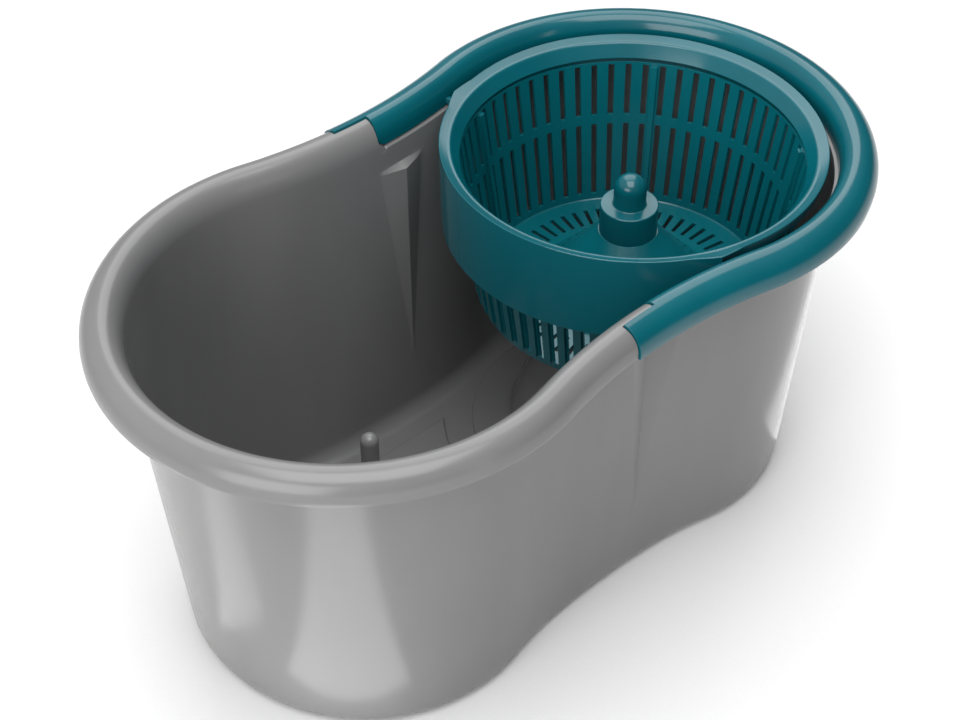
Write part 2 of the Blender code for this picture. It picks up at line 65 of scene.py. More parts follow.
# %% Ask the frame for the axes and heights
def middle(node):
    """The middle of a node's box, in millimetres."""
    low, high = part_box(node)
    return (low + high) / 2 / MM


def height_range(node):
    low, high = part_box(node)
    return low.z / MM, high.z / MM


SPIN_X = middle("hub_post").x
PIN_X = middle("wash_pin").x
HUB_BASE, HUB_TOP = height_range("hub_post")
PIN_FOOT, PIN_TOP = height_range("wash_pin")
print(f"spin axis x {SPIN_X:.1f}, pin x {PIN_X:.1f}, hub {HUB_BASE:.1f} to {HUB_TOP:.1f} mm")

# %% [markdown]
# ## Colours and a helper for nodes
#
# Hex colours are what a colour picker shows, in sRGB. Shaders want linear light, so one function
# turns the first into the second. Another adds a node with its settings and its links, which
# keeps each material short enough to read as a recipe.


# %% Colour and node helpers
def linear(hex_colour):
    """An sRGB hex colour as linear RGBA."""
    channels = []
    for i in (0, 2, 4):
        c = int(hex_colour[i:i + 2], 16) / 255
        channels.append(c / 12.92 if c <= 0.04045 else ((c + 0.055) / 1.055) ** 2.4)
    return (*channels, 1.0)


def add(tree, kind, values=None, links=None, **settings):
    """Add one node: its settings, its unlinked values and its incoming links."""
    node = tree.nodes.new(kind)
    for name, value in settings.items():
        setattr(node, name, value)
    for name, value in (values or {}).items():
        node.inputs[name].default_value = value
    for name, source in (links or {}).items():
        tree.links.new(source, node.inputs[name])
    return node


def shader_of(material):
    return material.node_tree.nodes["Principled BSDF"]


# %% [markdown]
# ## Injection-moulded polypropylene
#
# Bucket, collar, basket and hub are all moulded polypropylene, a waxy plastic. What the eye gets
# from it depends on the mould's steel. A spark-eroded mould leaves a fine satin grain, as on the
# grey bucket. A polished one leaves a gloss that is never quite flat, because the wall sinks and
# swells a little as it cools: reflections waver. The colour is mixed in as pellets, so it drifts
# very slightly along the flow. One recipe with a few numbers covers all of them.


# %% Moulded polypropylene
POLYPROPYLENE_IOR = 1.49


def per_mm(size):
    """Noise scale for features of this size in millimetres."""
    return 1.0 / (size * MM)


def moulded_polypropylene(name, shade, pale, roughness, grain_mm, grain_depth, wave_depth):
    """Satin or gloss moulded plastic; the depths are in millimetres."""
    material = bpy.data.materials.new(name)
    material.use_nodes = True
    tree = material.node_tree
    shader = shader_of(material)
    shader.inputs["IOR"].default_value = POLYPROPYLENE_IOR
    place = add(tree, "ShaderNodeTexCoord").outputs["Object"]
    # flow marks are faint upright streaks, 45 mm wide and about three times as tall
    stretched = add(tree, "ShaderNodeMapping", {"Scale": (1.0, 1.0, 0.35)}, {"Vector": place})
    flow = add(tree, "ShaderNodeTexNoise", {"Scale": per_mm(45.0), "Detail": 2.0},
               {"Vector": stretched.outputs["Vector"]})
    colour = add(tree, "ShaderNodeValToRGB", links={"Fac": flow.outputs["Fac"]})
    colour.color_ramp.elements[0].position = 0.3
    colour.color_ramp.elements[0].color = linear(shade)
    colour.color_ramp.elements[1].position = 0.7
    colour.color_ramp.elements[1].color = linear(pale)
    tree.links.new(colour.outputs["Color"], shader.inputs["Base Color"])
    # handling leaves patches about as large as a fingertip where the satin is a touch duller
    patches = add(tree, "ShaderNodeTexNoise", {"Scale": per_mm(14.0), "Detail": 4.0}, {"Vector": place})
    dullness = add(tree, "ShaderNodeMapRange",
                   {"From Min": 0.3, "From Max": 0.7,
                    "To Min": roughness - 0.015, "To Max": roughness + 0.02},
                   {"Value": patches.outputs["Fac"]})
    tree.links.new(dullness.outputs["Result"], shader.inputs["Roughness"])
    # two depths of relief: the slow waver of a cooled wall, then the mould's own grain
    waver = add(tree, "ShaderNodeTexNoise", {"Scale": per_mm(16.0), "Detail": 1.0}, {"Vector": place})
    wall = add(tree, "ShaderNodeBump", {"Strength": 1.0, "Distance": wave_depth * MM},
               {"Height": waver.outputs["Fac"]})
    grain = add(tree, "ShaderNodeTexNoise", {"Scale": per_mm(grain_mm), "Detail": 2.0}, {"Vector": place})
    skin = add(tree, "ShaderNodeBump", {"Strength": 1.0, "Distance": grain_depth * MM},
               {"Height": grain.outputs["Fac"], "Normal": wall.outputs["Normal"]})
    tree.links.new(skin.outputs["Normal"], shader.inputs["Normal"])
    print(f"{name}: grain {grain_mm} mm, roughness {roughness}")
    return material


# A moulded satin grain is usually finer than 0.7 mm, but then it would not show at this distance.
GREY = moulded_polypropylene("satin_grey_polypropylene", "717171", "757575", 0.23, 0.7, 0.003, 0.004)
GREY_PIN = moulded_polypropylene("grey_pin_polypropylene", "707070", "767676", 0.20, 0.7, 0.003, 0.004)
TEAL_GLOSS = moulded_polypropylene("gloss_teal_polypropylene", "04545F", "055A65", 0.16, 1.2, 0.002, 0.012)
TEAL_BASKET = moulded_polypropylene("teal_basket_polypropylene", "045963", "06606A", 0.20, 0.9, 0.003, 0.008)
TEAL_HUB = moulded_polypropylene("teal_hub_polypropylene", "04545E", "065B66", 0.18, 1.0, 0.004, 0.02)

# %% [markdown]
# ## Acetal and steel inside the bearing
#
# The basket turns on a steel spindle in a plain bush. The bush and washer are natural acetal, a
# hard white plastic with a soap-like sheen, cut on a lathe. The spindle is turned stainless steel:
# the tool leaves rings round the axis, so its highlight breaks into lines. The clip is
# stamped from blued spring strip.


# %% Turned and stamped bearing materials
WAVE_GAIN = 20                     # the wave texture multiplies its own scale by this


def turned_stock(name, shade, pale, roughness, metallic, radian_mm, depth_mm, ior=None):
    """Lathe-cut stock, with a tool ring every 2 pi times radian_mm along the axis."""
    material = bpy.data.materials.new(name)
    material.use_nodes = True
    tree = material.node_tree
    shader = shader_of(material)
    shader.inputs["Metallic"].default_value = metallic
    if ior:
        shader.inputs["IOR"].default_value = ior
    place = add(tree, "ShaderNodeTexCoord").outputs["Object"]
    rings = add(tree, "ShaderNodeTexWave",
                {"Scale": per_mm(radian_mm) / WAVE_GAIN, "Distortion": 1.5},
                {"Vector": place}, wave_type="BANDS", bands_direction="Z")
    clouds = add(tree, "ShaderNodeTexNoise", {"Scale": per_mm(3.0), "Detail": 3.0}, {"Vector": place})
    colour = add(tree, "ShaderNodeValToRGB", links={"Fac": clouds.outputs["Fac"]})
    colour.color_ramp.elements[0].color = linear(shade)
    colour.color_ramp.elements[1].color = linear(pale)
    tree.links.new(colour.outputs["Color"], shader.inputs["Base Color"])
    dullness = add(tree, "ShaderNodeMapRange", {"To Min": roughness - 0.05, "To Max": roughness + 0.08},
                   {"Value": rings.outputs["Fac"]})
    tree.links.new(dullness.outputs["Result"], shader.inputs["Roughness"])
    relief = add(tree, "ShaderNodeBump", {"Strength": 1.0, "Distance": depth_mm * MM},
                 {"Height": rings.outputs["Fac"]})
    tree.links.new(relief.outputs["Normal"], shader.inputs["Normal"])
    return material


ACETAL = turned_stock("turned_natural_acetal", "D9D7CC", "E9E7DE", 0.36, 0.0, 0.6, 0.01, ior=1.48)
STAINLESS = turned_stock("turned_stainless_steel", "B9BABB", "C9CACA", 0.26, 1.0, 0.5, 0.006)
SPRING_STEEL = turned_stock("stamped_spring_steel", "6E7076", "86888D", 0.34, 1.0, 0.8, 0.004)

for node, material in {"bearing_bush": ACETAL, "thrust_washer": ACETAL,
                       "spindle": STAINLESS, "retaining_clip": SPRING_STEEL}.items():
    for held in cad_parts[node].material_slots:
        held.material = material
    print(node, "keeps its CAD shape in", material.name)

# %% [markdown]
# ## The two-lobed outline
#
# Seen from above, the rim is two round lobes joined by hollow waists, all true arcs that meet
# without a kink. The waist's centre follows from that: it stands one lobe radius plus one waist
# radius away from each lobe's centre. A *post* is one place along this outline, and `at` finds the
# point at a post that is a given way in from the rim's edge, at a given height.

# %% Sizes of the outline
LOBE_R = 136.0
LOBE_PITCH = 210.0                 # between the two lobes' centres
WAIST_R = 298.0
WASH_X = SPIN_X - LOBE_PITCH
MID_X = (SPIN_X + WASH_X) / 2
WAIST_Y = math.sqrt((LOBE_R + WAIST_R) ** 2 - (LOBE_PITCH / 2) ** 2)
WAIST_DEG = math.degrees(math.asin(LOBE_PITCH / 2 / (LOBE_R + WAIST_R)))

WALL_TOP = 199.5
CORNER = 12.0                      # height where the wall turns into the floor
END_LEAN = 0.029                   # share by which the outline is shorter at the floor
print(f"waist centre {WAIST_Y:.1f} mm out, each waist arc {2 * WAIST_DEG:.1f} degrees")

# %% [markdown]
# The collar covers the rim of the spin lobe and runs a little way round each waist. Its outer
# flange ends sooner than its inner one, and the inner flange's lower corner is rounded. A wedge is
# pressed into each waist, with a crisp crease down the middle. Those edges all have to lie on
# columns of the mesh, so the posts are slid sideways at each height until they do.

# %% Features round the waist, in degrees
COLLAR_OUT = -3.65                 # where the collar's outer flange ends
COLLAR_IN = 0.55                   # where its inner flange ends
JOINT = 0.06                       # half the open joint between collar and rim there
FLAP_CORNER = 5.0                  # mm, radius of the inner flange's lower corner
FLAP_FOOT = 206.2                  # its lower edge
FLAP_FADE = (196.0, 204.0)         # heights over which the posts give way to that corner
WEDGE_LEFT, WEDGE_CREASE, WEDGE_RIGHT = 0.2, 3.2, 6.4
WEDGE_TOP, WEDGE_FULL, WEDGE_END = 190.8, 188.4, 48.0
WEDGE_DEPTH = 5.2
WEDGE_SLIVER = 0.12                # the posts never close up further than this share
WEDGE_REACH = (-6.0, 11.0)         # the posts that make room for the wedge
FLAP_REACH = (-2.0, 4.0)           # the posts that make room for the flap's end
MM_PER_DEG = math.radians(1.0) * (WAIST_R + 20.0)


def ramp(value, xs, ys):
    """Straight lines between the points given, flat outside them."""
    if value <= xs[0]:
        return ys[0]
    for x0, x1, y0, y1 in zip(xs, xs[1:], ys, ys[1:]):
        if value <= x1:
            return y0 + (y1 - y0) * (value - x0) / (x1 - x0)
    return ys[-1]


def wedge_size(z):
    """How far the wedge has opened at a height, from 0 to 1."""
    return ramp(z, (WEDGE_END, WEDGE_FULL, WEDGE_TOP), (0.0, 1.0, 0.0))


def flap_shift(z):
    """How far the rounded corner draws the inner flange's end back, in degrees."""
    rise = min(max(z - FLAP_FOOT, 0.0), FLAP_CORNER)
    back = FLAP_CORNER - math.sqrt(FLAP_CORNER ** 2 - (FLAP_CORNER - rise) ** 2)
    return back / MM_PER_DEG * ramp(z, FLAP_FADE, (0.0, 1.0))


def slide(deg, z):
    """Move a waist post so that the wedge's edges or the flap's end lie on it."""
    first, last = WEDGE_REACH if z < WEDGE_TOP else FLAP_REACH
    if not first < deg < last:
        return deg
    if z < WEDGE_TOP:
        share = max(wedge_size(z) if z < WEDGE_FULL else 1.0, WEDGE_SLIVER)
        left = WEDGE_CREASE + (WEDGE_LEFT - WEDGE_CREASE) * share
        right = WEDGE_CREASE + (WEDGE_RIGHT - WEDGE_CREASE) * share
        return ramp(deg, (first, WEDGE_LEFT, WEDGE_CREASE, WEDGE_RIGHT, last),
                    (first, left, WEDGE_CREASE, right, last))
    by = flap_shift(z)
    near, far = COLLAR_IN - JOINT, COLLAR_IN + JOINT
    return ramp(deg, (first, near, far, last), (first, near + by, far + by, last))


print(f"wedge {(WEDGE_RIGHT - WEDGE_LEFT) * MM_PER_DEG:.0f} mm wide and {WEDGE_DEPTH} mm deep")

# %% Posts round the outline
def spread(start, end, steps):
    """Evenly spaced values from start to end, both included."""
    return [start + (end - start) * i / steps for i in range(steps + 1)]


# in degrees from the waist's middle, close together at the collar's ends and on the wedge
WAIST_POSTS = sorted(set(
    spread(-12.8, -4.6, 6) + [-4.2, COLLAR_OUT - JOINT, COLLAR_OUT + JOINT, -3.0, -2.0, -1.0]
    + [WEDGE_LEFT, COLLAR_IN - JOINT, COLLAR_IN + JOINT, 0.9, 1.3, 1.8, 2.3, 2.8, 3.15]
    + [WEDGE_CREASE, 3.65, 4.0, 4.5, 5.0, 5.5, 6.0, WEDGE_RIGHT, 6.9] + spread(7.6, 12.8, 4)
))
LOBE_STEPS = 112
HALF_LOBE = 90.0 + WAIST_DEG


def outline_posts():
    """Every post as (stretch, degrees), anticlockwise from the near end of the spin lobe."""
    posts = [("spin", deg) for deg in spread(-HALF_LOBE, HALF_LOBE, LOBE_STEPS)]
    posts += [("back", deg) for deg in reversed(WAIST_POSTS)]
    posts += [("wash", deg) for deg in spread(180 - HALF_LOBE, 180 + HALF_LOBE, LOBE_STEPS)]
    posts += [("front", deg) for deg in WAIST_POSTS]
    return posts


def fall(z):
    """How far down the wall: 0 at its top, 1 at the corner of the floor."""
    return min(max((WALL_TOP - z) / (WALL_TOP - CORNER), 0.0), 1.0)


def at(post, inset, z):
    """The point at a post, inset from the rim's edge, in metres."""
    stretch, deg = post
    if stretch in ("spin", "wash"):
        turn = math.radians(deg)
        x = (SPIN_X if stretch == "spin" else WASH_X) + (LOBE_R - inset) * math.cos(turn)
        y = (LOBE_R - inset) * math.sin(turn)
    else:
        turn = math.radians(slide(deg, z))
        side = -1 if stretch == "front" else 1
        x = MID_X + (WAIST_R + inset) * math.sin(turn)
        y = side * (WAIST_Y - (WAIST_R + inset) * math.cos(turn))
    return Vector((MID_X + (x - MID_X) * (1 - END_LEAN * fall(z)), y, z)) * MM


POSTS = outline_posts()
print(len(POSTS), "posts round the outline")

# %% [markdown]
# ## A grid wrapped round a shape
#
# The bucket's wall and the collar are both one skin that follows the outline. A flat grid has the
# same faces as such a skin, so Blender makes the grid and each of its corners is then sent to its
# place. That keeps tidy rows and columns, which a satin surface needs to look smooth. Where the
# skin closes on itself, the first and last columns are merged.


# %% Wrap a grid
MERGE = 0.00001                    # metres, corners closer than this are one
FINE_MERGE = 0.000002              # the same for turned shapes, whose small rounds are finer


def wrapped_grid(columns, rows, place):
    """A grid of columns by rows, with each corner sent to place(column, row)."""
    bm = bmesh.new()
    bmesh.ops.create_grid(bm, x_segments=columns - 1, y_segments=rows - 1, size=1.0)
    for vert in bm.verts:
        column = round((vert.co.x + 1) / 2 * (columns - 1))
        row = round((vert.co.y + 1) / 2 * (rows - 1))
        vert.co = place(column, row)
    return bm


def arc(centre, radii, start, end, steps):
    """Points (inset, height) on a stretch of an ellipse, from one angle to another."""
    turns = [math.radians(deg) for deg in spread(start, end, steps)]
    return [(centre[0] + radii[0] * math.cos(t), centre[1] + radii[1] * math.sin(t)) for t in turns]


def make_piece(name, bm, material, body, nodes, sharp=40.0):
    """Turn a bmesh into a finished piece that stands for CAD nodes and rides on their body."""
    bmesh.ops.remove_doubles(bm, verts=bm.verts, dist=MERGE)
    bmesh.ops.recalc_face_normals(bm, faces=bm.faces)
    mesh = bpy.data.meshes.new(name)
    bm.to_mesh(mesh)
    bm.free()
    mesh.materials.append(material)
    mesh.shade_smooth()
    mesh.set_sharp_from_angle(angle=math.radians(sharp))
    piece = bpy.data.objects.new(name, mesh)
    bpy.context.scene.collection.objects.link(piece)
    if body:
        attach(piece, body)
        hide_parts(*nodes)
    return piece


def combine(piece, bm, operation):
    """Join a bmesh to a piece, or cut it away, and keep only the result."""
    tool = make_piece("tool", bm, piece.data.materials[0], None, ())
    step = piece.modifiers.new("combine", "BOOLEAN")
    step.operation = operation
    step.solver = "EXACT"
    step.object = tool
    shown = piece.evaluated_get(bpy.context.evaluated_depsgraph_get())
    result = bpy.data.meshes.new_from_object(shown)
    piece.modifiers.clear()
    piece.data = result
    bpy.data.objects.remove(tool, do_unlink=True)


def soften(piece, width, segments, angle=40.0):
    """Break the sharp edges with a small round, and keep the flats flat."""
    edge = piece.modifiers.new("edges", "BEVEL")
    edge.width = width * MM
    edge.segments = segments
    edge.limit_method = "ANGLE"
    edge.angle_limit = math.radians(angle)
    edge.harden_normals = False
    flats = piece.modifiers.new("flats", "WEIGHTED_NORMAL")
    flats.keep_sharp = True


# %% [markdown]
# ## The bucket's skin
#
# The real bucket is one shot of plastic: a thin wall that leans in towards the floor, and a rim
# that rolls over like a breaking wave and stops short in mid-air. The rim's section is two quarter
# ellipses that meet at the crest, with a second pair below it for the underside. Under the collar
# the rim is lower and narrower, so the collar can sit flush: posts there use the *seat* section.

# %% Sections of the rim, as (inset, height)
CREST = 11.6                       # inset of the rim's highest line
RIM_OVER = [(0.2, 207.2), (0.0, 208.4)] + arc((CREST, 209.6), (CREST, 12.2), 180, 92, 9)
RIM_OVER += arc((CREST, 204.2), (10.8, 17.6), 90, 0, 12)
SEAT_OVER = [(1.5, 207.2), (1.3, 208.4)] + arc((CREST, 209.6), (10.3, 10.6), 180, 92, 9)
SEAT_OVER += arc((CREST, 205.4), (6.6, 14.8), 90, 0, 12)
RIM_UNDER = arc((11.4, 206.0), (8.8, 13.2), 0, 90, 6) + arc((11.4, 208.0), (8.9, 11.2), 100, 180, 5)
SEAT_UNDER = arc((10.0, 203.6), (5.9, 13.9), 0, 90, 6) + arc((10.0, 207.6), (6.1, 9.8), 100, 180, 5)
RIM_LIP = ((22.5, 202.9), (22.6, 202.0))     # where the rim's skin runs down onto the wall
SEAT_LIP = ((22.3, 204.7), (22.6, 204.3))
WALL_INSET = 20.4                  # of the wall's outer face, at its top
WALL = 2.2                         # thickness
TAPER = 11.2                       # how much further in the wall stands at the floor
WAIST_TAPER_CUT = 0.2              # share of that taper the middle of the waist does without


def under_collar(post, end):
    """Whether the collar reaches past this post, for the flange that ends at end."""
    stretch, deg = post
    return stretch == "spin" or (stretch in ("front", "back") and deg > end)


def wall_inset(post, z):
    """How far in the wall's outer face stands, with the wedge pressed in at the waist."""
    stretch, deg = post
    lean = TAPER
    pressed = 0.0
    if stretch in ("front", "back"):
        lean *= 1 - WAIST_TAPER_CUT * math.cos(math.radians(90 * slide(deg, z) / WAIST_DEG)) ** 2
        # straight flanks whose far ends ease into the wall
        flank = ramp(deg, (WEDGE_LEFT, 0.9, WEDGE_CREASE, 5.6, WEDGE_RIGHT), (0.0, 0.2, 1.0, 0.24, 0.0))
        pressed = WEDGE_DEPTH * flank * wedge_size(z)
    return WALL_INSET + lean * fall(z) + pressed


print("rim section:", len(RIM_UNDER) + len(RIM_OVER) + len(RIM_LIP), "points")

# %% Rows of the skin, from under the floor to inside it
HEIGHTS = [16.0, 28.0, 36.0, WEDGE_END] + spread(52.0, 180.0, 16)
HEIGHTS += [185.0, WEDGE_FULL - 0.4, WEDGE_FULL, 189.4, 190.2, WEDGE_TOP, 194.0, WALL_TOP]


def level(z, deeper):
    """A row all round the wall at one height."""
    return [(wall_inset(post, z) + deeper, z) for post in POSTS]


def rim_row(full, seat):
    """A row round the rim, on the lower seat where the collar covers it."""
    end = COLLAR_OUT if full[0] < CREST - 0.1 else COLLAR_IN
    return [seat if under_collar(post, end) else full for post in POSTS]


def skin_rows():
    """Up the outside from the floor's corner, over the rim and down the inside."""
    rows = [[(wall_inset(post, CORNER) + extra, z) for post in POSTS]
            for extra, z in arc((11.0, 12.0), (11.0, 12.0), 270, 180, 6)]
    rows += [level(z, 0.0) for z in HEIGHTS]
    rows += [rim_row(full, seat) for full, seat in zip(RIM_UNDER, SEAT_UNDER)]
    rows += [rim_row(full, seat) for full, seat in zip(RIM_OVER, SEAT_OVER)]
    rows += [rim_row(full, seat) for full, seat in zip(RIM_LIP, SEAT_LIP)]
    rows += [level(z, WALL) for z in reversed(HEIGHTS[1:-1])]
    rows += [[(wall_inset(post, CORNER) + WALL + extra, z) for post in POSTS]
             for extra, z in arc((10.0, 14.0), (10.0, 11.0), 180, 270, 7)]
    return rows


def bucket_skin():
    rows = skin_rows()
    ring = POSTS + POSTS[:1]
    bm = wrapped_grid(
        len(ring), len(rows),
        lambda column, row: at(ring[column], *rows[row][column % len(POSTS)]),
    )
    bmesh.ops.remove_doubles(bm, verts=bm.verts, dist=MERGE)
    rims = [edge for edge in bm.edges if edge.is_boundary]
    bmesh.ops.holes_fill(bm, edges=rims, sides=0)
    print(f"bucket skin: {len(rows)} rows of {len(POSTS)}, {len(bm.faces)} faces")
    return bm


# %% [markdown]
# ## Turned shapes
#
# Pedestal, funnel, hub, pin and basket are all round, so each is a short profile that Blender
# spins about its axis. The profile runs in order, so faces come out in rows and the corners can
# carry their own small rounds.


# %% Spin a profile
def turned(profile, centre_x, steps, closed=True):
    """Spin (radius, height) points about a vertical axis; a profile off the axis may be closed."""
    bm = bmesh.new()
    verts = [bm.verts.new(Vector((centre_x + r, 0.0, z)) * MM) for r, z in profile]
    edges = [bm.edges.new(pair) for pair in zip(verts, verts[1:])]
    if closed and profile[0][0] > 0:
        edges.append(bm.edges.new((verts[-1], verts[0])))
    bmesh.ops.spin(
        bm, geom=verts + edges, cent=(centre_x * MM, 0.0, 0.0), axis=(0.0, 0.0, 1.0),
        angle=2 * math.pi, steps=steps, use_merge=True,
    )
    bmesh.ops.remove_doubles(bm, verts=bm.verts, dist=FINE_MERGE)
    return bm


# %% [markdown]
# ## What stands on the bucket's floor
#
# At the spin end a hollow cone rises from a low round step, with a socket at the top for the
# spindle. At the rinse end a shallow pad stiffens the floor and a small boss holds the pin. They
# are moulded with the floor, so they are joined to it as one solid rather than set on it.

# %% Cone, pad and boss
FLOOR = 3.0                        # height of the floor's upper face
SINK = 1.0                         # how far each shape reaches into the floor, to join it
GAP = 0.3                          # left between a piece and what it stands on
STEP = 2.0
STEP_R = 91.0
CONE_FOOT_R, CONE_TOP_R, CONE_TOP = 68.0, 45.0, 92.0
CONE_WALL = 2.6
CORE_R, CORE_BELOW = 10.0, 4.0     # solid plastic left round and under the spindle's socket
SPINDLE_FOOT = height_range("spindle")[0]
SOCKET_R = 5.3
PAD_HEIGHT = 3.0
PAD_HALF = 71.0                    # radius of the pad's far end, and half its width
PAD_NEAR_R = 109.0
PIN_SOCKET_R = 5.5


def pedestal():
    top = FLOOR + STEP
    profile = [(0.0, SPINDLE_FOOT - GAP), (SOCKET_R, SPINDLE_FOOT - GAP), (SOCKET_R, CONE_TOP)]
    profile += arc((CONE_TOP_R - 3.6, CONE_TOP - 3.5), (3.5, 3.5), 90, 15, 5)
    profile += arc((CONE_FOOT_R + 6.5, top + 7.5), (7.8, 7.5), 195, 270, 7)
    profile += arc((STEP_R - 1.0, top - 1.0), (1.0, 1.0), 90, 0, 3)
    profile += [(STEP_R + 0.6, FLOOR - SINK), (0.0, FLOOR - SINK)]
    return turned(profile, SPIN_X, 96)


def pedestal_hollow():
    """What is cut away under the cone; it starts below the floor so the opening is clean."""
    below = -2.0
    foot_r, top_z = CONE_FOOT_R - CONE_WALL, CONE_TOP - CONE_WALL
    profile = [(0.0, below), (foot_r + 2, below), (foot_r, FLOOR + STEP + 5),
               (CONE_TOP_R - CONE_WALL - 2, top_z), (CORE_R, top_z),
               (CORE_R, SPINDLE_FOOT - CORE_BELOW), (0.0, SPINDLE_FOOT - CORE_BELOW)]
    return turned(profile, SPIN_X, 96)


def floor_pad():
    """A pad with a round far end and a hollow near end that follows the pedestal's step."""
    corner = math.asin(PAD_HALF / PAD_NEAR_R)
    outline = [(SPIN_X - PAD_NEAR_R * math.cos(a), PAD_NEAR_R * math.sin(a))
               for a in spread(corner, -corner, 20)]
    outline += [(PIN_X + PAD_HALF * math.cos(a), PAD_HALF * math.sin(a))
                for a in spread(-math.pi / 2, -3 * math.pi / 2, 36)]
    bm = bmesh.new()
    base = bm.faces.new([bm.verts.new(Vector((x, y, FLOOR - SINK)) * MM) for x, y in outline])
    raised = bmesh.ops.extrude_face_region(bm, geom=[base])["geom"]
    verts = [item for item in raised if isinstance(item, bmesh.types.BMVert)]
    bmesh.ops.translate(bm, verts=verts, vec=(0.0, 0.0, (PAD_HEIGHT + SINK) * MM))
    top_edges = [edge for edge in bm.edges if all(v in verts for v in edge.verts)]
    bmesh.ops.bevel(bm, geom=top_edges, offset=1.4 * MM, segments=3, profile=0.5,
                    affect="EDGES", material=-1, clamp_overlap=True)
    return bm


def pin_boss():
    profile = [(0.0, PIN_FOOT - GAP), (PIN_SOCKET_R, PIN_FOOT - GAP), (PIN_SOCKET_R, 16.0)]
    profile += arc((11.5, 14.8), (1.2, 1.2), 90, 20, 3)
    profile += arc((18.5, 9.0), (3.6, 3.0), 200, 270, 4)
    profile += [(18.5, FLOOR - SINK), (0.0, FLOOR - SINK)]
    return turned(profile, PIN_X, 48)


# %% Make the bucket
bucket = make_piece("bucket_shell", bucket_skin(), GREY, "bucket_body", ["bucket"])
for shape, operation in ((pedestal(), "UNION"), (pedestal_hollow(), "DIFFERENCE"),
                         (floor_pad(), "UNION"), (pin_boss(), "UNION")):
    combine(bucket, shape, operation)
bucket.data.set_sharp_from_angle(angle=math.radians(40.0))
bucket.modifiers.new("flats", "WEIGHTED_NORMAL").keep_sharp = True
print("bucket:", len(bucket.data.polygons), "faces")

# %% [markdown]
# ## The pin in the rinse end
#
# A slim moulded pin that the mop head drops over and turns on. It has a domed tip so the head
# finds it under water, and a collar that seats on the boss.

# %% Make the pin
PIN_R = 5.2
SEAT_Z = 16.3                      # underside of the pin's collar, a gap above the boss
pin_profile = arc((0.0, PIN_TOP - PIN_R), (PIN_R, PIN_R), 90, 0, 8)
pin_profile += arc((PIN_R + 1.2, SEAT_Z + 2.4), (1.2, 1.2), 180, 262, 4)
pin_profile += arc((PIN_R + 2.4, SEAT_Z + 0.6), (0.6, 0.6), 85, -90, 5)
pin_profile += [(PIN_R, SEAT_Z), (PIN_R, PIN_FOOT), (0.0, PIN_FOOT)]
pin = make_piece("rinse_pin", turned(pin_profile, PIN_X, 40), GREY_PIN, "bucket_body", ["wash_pin"])
print("pin:", round(PIN_TOP - PIN_FOOT), "mm tall")

# %% [markdown]
# ## The collar's channel
#
# The collar is an upturned channel that snaps over the rim. It is drawn as its outer skin alone,
# a grid that follows the outline, and a Solidify gives it the wall. The inner flange stops short
# of the outer one, so the grid's faces beyond it are deleted before the wall is made. Then every
# cut edge gets the small round that a mould leaves.

# %% Channel section and skin
RIDGE = 12.0                       # inset of the channel's highest line
CHANNEL = [(-0.9, 206.4), (-1.1, 208.0)] + arc((RIDGE, 209.6), (13.2, 13.5), 180, 95, 10)
CHANNEL += [(RIDGE, 223.1)]
CHANNEL += arc((RIDGE, 209.0), (8.6, 14.1), 82, 0, 11) + [(20.7, FLAP_FOOT)]
CHANNEL_WALL = 2.0
STRIP_EDGE = 10.9                  # the strip beyond the inner flange keeps this far out


def channel_skin():
    """The channel's outer skin, and the posts it runs along from one end to the other."""
    covered = [post for post in POSTS if under_collar(post, COLLAR_OUT)]
    split = next(i for i, post in enumerate(covered) if post[0] == "front")
    ring = covered[split:] + covered[:split]
    bm = wrapped_grid(len(ring), len(CHANNEL), lambda column, row: at(ring[column], *CHANNEL[row]))
    return bm, ring


print("channel section:", len(CHANNEL), "points")


# %% Cut the inner flange short and give the channel its wall
def make_channel():
    bm, ring = channel_skin()
    beyond = []
    flapped = [i for i, post in enumerate(ring) if under_collar(post, COLLAR_IN)]
    first, last = min(flapped), max(flapped)
    strip_row = next(row for row, (inset, _) in enumerate(CHANNEL) if inset > STRIP_EDGE - 0.5)
    bm.faces.ensure_lookup_table()
    columns = len(ring) - 1
    for index, face in enumerate(bm.faces):
        column, row = index % columns, index // columns
        if row >= strip_row and not first <= column < last:
            beyond.append(face)
    bmesh.ops.delete(bm, geom=beyond, context="FACES")
    bmesh.ops.recalc_face_normals(bm, faces=bm.faces)
    top = max(bm.faces, key=lambda face: face.calc_center_median().z)
    if top.normal.z < 0:
        bmesh.ops.reverse_faces(bm, faces=bm.faces)
    bmesh.ops.solidify(bm, geom=bm.faces[:], thickness=CHANNEL_WALL * MM)
    return bm


# %% [markdown]
# ## The funnel ring
#
# Inside the channel hangs a ring that catches splashes and leads the mop's strands into the
# basket. Its top slopes gently in, then drops steeply. Towards the rinse water it has a deep skirt;
# along the rim, where the bucket's own wall does that work, the skirt is a few millimetres deep.
# Where the skirt ends, a small ear and a web tie the ring to the channel, one at each side.

# %% Ring, ears and webs
RING_R, RING_TOP = 109.7, 216.4
RING_WALL = 2.2
SKIRT_FOOT, SKIRT_R = 163.0, 108.7
FUNNEL_R, FUNNEL_FOOT = 98.0, 205.7
SHORT_FOOT = 209.5                 # how far down the skirt comes where it is short
SKIRT_FROM_R = 105.5               # what lies further out than this is skirt
EAR_DEG, EAR_HALF, EAR_R = 111.5, 8.0, 112.7
EAR_RISE = (188.0, 206.0)          # heights over which an ear swells
NEAR_EAR = (0, 106, 110, 112, 116, 180)      # columns, in degrees, and where they move to
AT_EAR = (0, 106, EAR_DEG - 0.2, EAR_DEG + 0.2, 116, 180)
WEB_SIZE = (7.6, 3.0, 3.6)         # outwards, along the ring, upright
WEB_OUT, WEB_Z = RING_R + 3.9, 208.6         # of its middle


